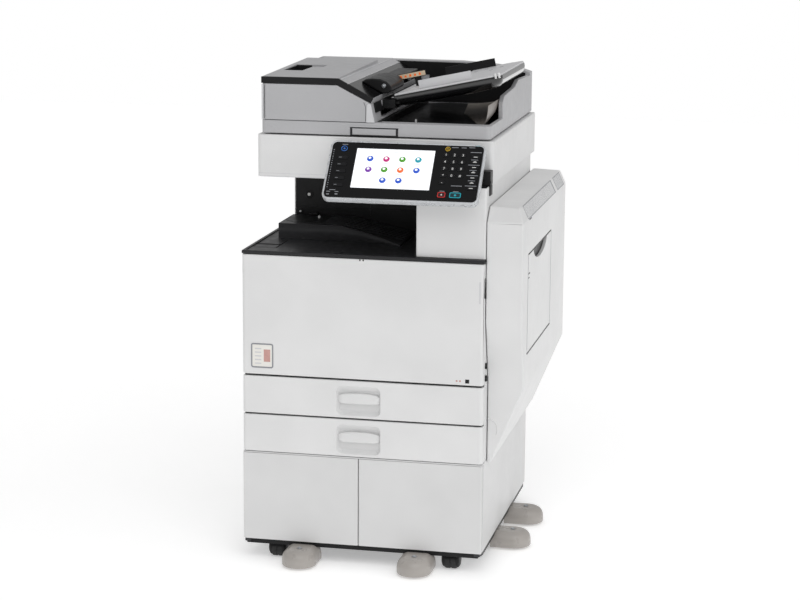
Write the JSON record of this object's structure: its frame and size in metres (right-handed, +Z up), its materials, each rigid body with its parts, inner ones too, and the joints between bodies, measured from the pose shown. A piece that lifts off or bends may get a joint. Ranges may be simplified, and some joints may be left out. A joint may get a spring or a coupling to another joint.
{
  "type": "photocopier",
  "caption": "Floor-standing office copier with document feeder, tilting touch panel, front door, paper trays, side paper path, bypass tray, cabinet on casters and stabilizer feet.",
  "frame": {"origin": "on the floor, under the middle of the whole machine", "axes": "+Z up, +X to the machine's right as seen from the front, -Y towards the person at the panel"},
  "size_m": [0.6744, 0.775, 1.1841],
  "materials": {
    "white_plastic": "satin",
    "feeder_grey": "satin",
    "light_grey": "satin",
    "black_plastic": "satin",
    "dark_grey": "satin",
    "foot_grey": "semi-gloss",
    "gloss_black": "glossy",
    "bezel_silver": "satin metallic",
    "screen_glass": "glossy",
    "clear_glass": "clear",
    "key_grey": "satin",
    "key_start": "glossy",
    "key_stop": "glossy",
    "steel": "zinc plated",
    "painted_steel": "satin powder coat",
    "cabinet_white": "satin powder coat",
    "rubber_black": "matt",
    "tyre_black": "matt",
    "drum_blue": "organic photoconductor coating",
    "toner_black": "satin",
    "fuser_coat": "fluoropolymer coated",
    "foam_white": "foam backed film",
    "zinc": "cast"
  },
  "bodies": {
    "machine": {"main_frame": "steel", "cabinet_shell": "cabinet_white", "underframe": "painted_steel", "stabilizer_feet": "foot_grey", "foot_pads": "rubber_black", "left_cover": "white_plastic", "rear_cover": "white_plastic", "right_cover": "white_plastic", "front_pillar": "white_plastic", "exit_tray": "dark_grey", "exit_wall": "black_plastic", "scanner_housing": "white_plastic", "contact_glass": "clear_glass", "adf_hinges": "zinc", "panel_bracket": "black_plastic", "power_inlet": "black_plastic"},
    "feeder": {"adf_base": "feeder_grey", "platen_pad": "foam_white", "adf_feed_housing": "feeder_grey"},
    "feed_cover": {"adf_feed_cover": "feeder_grey"},
    "cover_lever": {"adf_lever": "feeder_grey"},
    "input_table": {"adf_input_table": "feeder_grey"},
    "front_fence": {"adf_fence_front": "feeder_grey"},
    "rear_fence": {"adf_fence_rear": "feeder_grey"},
    "feed_roller": {"adf_feed_roller": "rubber_black"},
    "panel": {"panel_housing": "bezel_silver", "panel_fascia": "gloss_black", "screen": "screen_glass"},
    "numeric_keypad": {"numeric_keys": "key_grey"},
    "function_keypad": {"function_keys": "key_grey"},
    "side_keypad": {"side_keys": "key_grey"},
    "start_button": {"start_key": "key_start"},
    "stop_button": {"stop_key": "key_stop"},
    "home_button": {"home_key": "key_grey"},
    "reset_button": {"reset_key": "key_grey"},
    "front_cover": {"front_door": "white_plastic"},
    "tray_1": {"tray_1_box": "light_grey", "tray_1_front": "white_plastic"},
    "tray_2": {"tray_2_box": "light_grey", "tray_2_front": "white_plastic"},
    "tray_1_lift": {"tray_1_lift_plate": "steel"},
    "tray_2_lift": {"tray_2_lift_plate": "steel"},
    "left_door": {"cabinet_door_left": "cabinet_white"},
    "right_door": {"cabinet_door_right": "cabinet_white"},
    "paper_path_door": {"duplex_door": "white_plastic"},
    "bypass": {"bypass_tray": "white_plastic"},
    "left_caster": {"caster_fork_left": "steel"},
    "right_caster": {"caster_fork_right": "steel"},
    "front_left_wheel": {"caster_wheel_front_left": "tyre_black"},
    "front_right_wheel": {"caster_wheel_front_right": "tyre_black"},
    "rear_left_wheel": {"caster_wheel_rear_left": "tyre_black"},
    "rear_right_wheel": {"caster_wheel_rear_right": "tyre_black"},
    "lamp_carriage": {"scan_carriage": "black_plastic"},
    "half_speed_carriage": {"mirror_carriage": "black_plastic"},
    "photoconductor": {"drum": "drum_blue"},
    "transfer": {"transfer_roller": "rubber_black"},
    "toner": {"toner_bottle": "toner_black"},
    "fuser": {"fuser_roller": "fuser_coat"},
    "pressure": {"pressure_roller": "rubber_black"},
    "exit_rollers": {"exit_roller": "rubber_black"}
  },
  "joints": [
    {"name": "feeder_lid", "type": "hinge", "parent": "machine", "child": "feeder", "pos_m": [-0.04375, 0.381, 1.042], "axis": [-1, 0, 0], "range_deg": [0, 70]},
    {"name": "tray_1_slide", "type": "slide", "parent": "machine", "child": "tray_1", "axis": [0, -1, 0], "range_m": [0, 0.42]},
    {"name": "tray_2_slide", "type": "slide", "parent": "machine", "child": "tray_2", "axis": [0, -1, 0], "range_m": [0, 0.42]},
    {"name": "front_door_hinge", "type": "hinge", "parent": "machine", "child": "front_cover", "pos_m": [-0.33225, -0.294, 0.6], "axis": [0, 0, -1], "range_deg": [0, 90]},
    {"name": "cabinet_left_hinge", "type": "hinge", "parent": "machine", "child": "left_door", "pos_m": [-0.32675, -0.3035, 0.16], "axis": [0, 0, -1], "range_deg": [0, 90]},
    {"name": "cabinet_right_hinge", "type": "hinge", "parent": "machine", "child": "right_door", "pos_m": [0.23925, -0.3035, 0.16], "axis": [0, 0, 1], "range_deg": [0, 90]},
    {"name": "paper_path_hinge", "type": "hinge", "parent": "machine", "child": "paper_path_door", "pos_m": [0.26025, 0.3555, 0.58], "axis": [0, 0, 1], "range_deg": [0, 50]},
    {"name": "bypass_hinge", "type": "hinge", "parent": "paper_path_door", "child": "bypass", "pos_m": [0.33305, -0.0375, 0.533], "axis": [0, 1, 0], "range_deg": [0, 80]},
    {"name": "panel_tilt", "type": "hinge", "parent": "machine", "child": "panel", "pos_m": [0.07625, -0.2525, 1], "axis": [1, 0, 0], "range_deg": [-25, 3]},
    {"name": "feed_cover_hinge", "type": "hinge", "parent": "feeder", "child": "feed_cover", "pos_m": [-0.29925, 0.0485, 1.1603], "axis": [0, -1, 0], "range_deg": [0, 75]},
    {"name": "input_table_hinge", "type": "hinge", "parent": "feeder", "child": "input_table", "pos_m": [-0.00975, 0.0325, 1.106], "axis": [0, -1, 0], "range_deg": [0, 35]},
    {"name": "cover_lever_hinge", "type": "hinge", "parent": "feed_cover", "child": "cover_lever", "pos_m": [-0.21925, -0.0365, 1.1642], "axis": [0, 1, 0], "range_deg": [0, 30], "stiffness_Nm_per_rad": 0.05},
    {"name": "front_fence_slide", "type": "slide", "parent": "input_table", "child": "front_fence", "axis": [0, 1, 0], "range_m": [0, 0.085]},
    {"name": "rear_fence_slide", "type": "slide", "parent": "input_table", "child": "rear_fence", "axis": [0, -1, 0], "range_m": [0, 0.085]},
    {"name": "feed_roller_spin", "type": "hinge", "parent": "feeder", "child": "feed_roller", "pos_m": [-0.10375, 0.0485, 1.1], "axis": [0, 1, 0], "continuous": true},
    {"name": "scan_carriage_slide", "type": "slide", "parent": "machine", "child": "lamp_carriage", "axis": [1, 0, 0], "range_m": [0, 0.4]},
    {"name": "mirror_carriage_slide", "type": "slide", "parent": "machine", "child": "half_speed_carriage", "axis": [1, 0, 0], "range_m": [0, 0.2]},
    {"name": "numeric_keys_press", "type": "slide", "parent": "panel", "child": "numeric_keypad", "axis": [0, 0.7428, -0.6695], "range_m": [0, 0.0012], "stiffness_N_per_m": 900},
    {"name": "function_keys_press", "type": "slide", "parent": "panel", "child": "function_keypad", "axis": [0, 0.7428, -0.6695], "range_m": [0, 0.0012], "stiffness_N_per_m": 900},
    {"name": "side_keys_press", "type": "slide", "parent": "panel", "child": "side_keypad", "axis": [0, 0.7428, -0.6695], "range_m": [0, 0.0012], "stiffness_N_per_m": 900},
    {"name": "start_key_press", "type": "slide", "parent": "panel", "child": "start_button", "axis": [0, 0.7428, -0.6695], "range_m": [0, 0.0012], "stiffness_N_per_m": 900},
    {"name": "stop_key_press", "type": "slide", "parent": "panel", "child": "stop_button", "axis": [0, 0.7428, -0.6695], "range_m": [0, 0.0012], "stiffness_N_per_m": 900},
    {"name": "home_key_press", "type": "slide", "parent": "panel", "child": "home_button", "axis": [0, 0.7428, -0.6695], "range_m": [0, 0.0012], "stiffness_N_per_m": 900},
    {"name": "reset_key_press", "type": "slide", "parent": "panel", "child": "reset_button", "axis": [0, 0.7428, -0.6695], "range_m": [0, 0.0012], "stiffness_N_per_m": 900},
    {"name": "tray_1_lift_hinge", "type": "hinge", "parent": "tray_1", "child": "tray_1_lift", "pos_m": [-0.19075, -0.0225, 0.381], "axis": [0, -1, 0], "range_deg": [0, 8]},
    {"name": "tray_2_lift_hinge", "type": "hinge", "parent": "tray_2", "child": "tray_2_lift", "pos_m": [-0.19075, -0.0225, 0.286], "axis": [0, -1, 0], "range_deg": [0, 8]},
    {"name": "left_caster_swivel", "type": "hinge", "parent": "machine", "child": "left_caster", "pos_m": [-0.25875, -0.2505, 0.047], "axis": [0, 0, 1], "continuous": true},
    {"name": "right_caster_swivel", "type": "hinge", "parent": "machine", "child": "right_caster", "pos_m": [0.17125, -0.2505, 0.047], "axis": [0, 0, 1], "continuous": true},
    {"name": "front_left_wheel_spin", "type": "hinge", "parent": "left_caster", "child": "front_left_wheel", "pos_m": [-0.25875, -0.2725, 0.022], "axis": [1, 0, 0], "continuous": true},
    {"name": "front_right_wheel_spin", "type": "hinge", "parent": "right_caster", "child": "front_right_wheel", "pos_m": [0.17125, -0.2725, 0.022], "axis": [1, 0, 0], "continuous": true},
    {"name": "rear_left_wheel_spin", "type": "hinge", "parent": "machine", "child": "rear_left_wheel", "pos_m": [-0.25875, 0.2875, 0.022], "axis": [1, 0, 0], "continuous": true},
    {"name": "rear_right_wheel_spin", "type": "hinge", "parent": "machine", "child": "rear_right_wheel", "pos_m": [0.17125, 0.2875, 0.022], "axis": [1, 0, 0], "continuous": true},
    {"name": "drum_spin", "type": "hinge", "parent": "machine", "child": "photoconductor", "pos_m": [0.12625, -0.0625, 0.59], "axis": [0, 1, 0], "continuous": true},
    {"name": "transfer_spin", "type": "hinge", "parent": "machine", "child": "transfer", "pos_m": [0.16885, -0.0625, 0.59], "axis": [0, 1, 0], "continuous": true},
    {"name": "toner_spin", "type": "hinge", "parent": "machine", "child": "toner", "pos_m": [-0.02375, -0.0625, 0.65], "axis": [0, 1, 0], "continuous": true},
    {"name": "fuser_spin", "type": "hinge", "parent": "machine", "child": "fuser", "pos_m": [0.13625, -0.0625, 0.695], "axis": [0, 1, 0], "continuous": true},
    {"name": "pressure_spin", "type": "hinge", "parent": "machine", "child": "pressure", "pos_m": [0.17485, -0.0625, 0.695], "axis": [0, 1, 0], "continuous": true},
    {"name": "exit_roller_spin", "type": "hinge", "parent": "machine", "child": "exit_rollers", "pos_m": [0.08725, -0.0625, 0.8], "axis": [0, 1, 0], "continuous": true}
  ],
  "couplings": [
    {"joint": "rear_fence_slide", "follows": "front_fence_slide", "ratio": 1},
    {"joint": "mirror_carriage_slide", "follows": "scan_carriage_slide", "ratio": 0.5},
    {"joint": "transfer_spin", "follows": "drum_spin", "ratio": -2.5},
    {"joint": "pressure_spin", "follows": "fuser_spin", "ratio": -1.1111}
  ]
}
